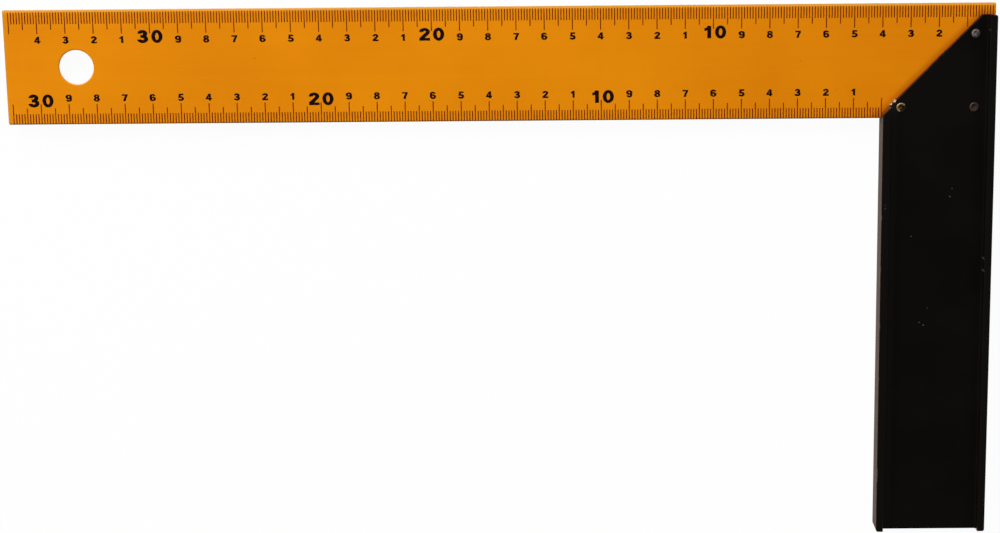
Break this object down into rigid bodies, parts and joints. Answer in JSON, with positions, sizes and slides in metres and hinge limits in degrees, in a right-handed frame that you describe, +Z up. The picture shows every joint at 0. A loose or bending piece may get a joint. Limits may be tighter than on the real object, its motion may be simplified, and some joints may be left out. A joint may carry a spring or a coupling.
{
  "type": "try and mitre square",
  "caption": "Try square with a 45 degree mitred shoulder: a lacquered steel blade with scales and a hanging hole, riveted into a slotted black H-section stock.",
  "frame": {"origin": "under the middle of the square's outline, on the plane that the rims of the stock lie on", "axes": "+X along the blade from its free end towards the stock, +Y up the stock from its foot towards the blade, +Z up through the thickness towards the graduated face"},
  "size_m": [0.352, 0.1938, 0.01],
  "materials": {
    "blade_lacquer": "satin",
    "stock_lacquer": "satin",
    "rivet_metal": "satin"
  },
  "bodies": {
    "root": {"blade": "blade_lacquer", "stock": "stock_lacquer", "upper_rivet": "rivet_metal", "inner_rivet": "rivet_metal", "outer_rivet": "rivet_metal"}
  },
  "joints": []
}
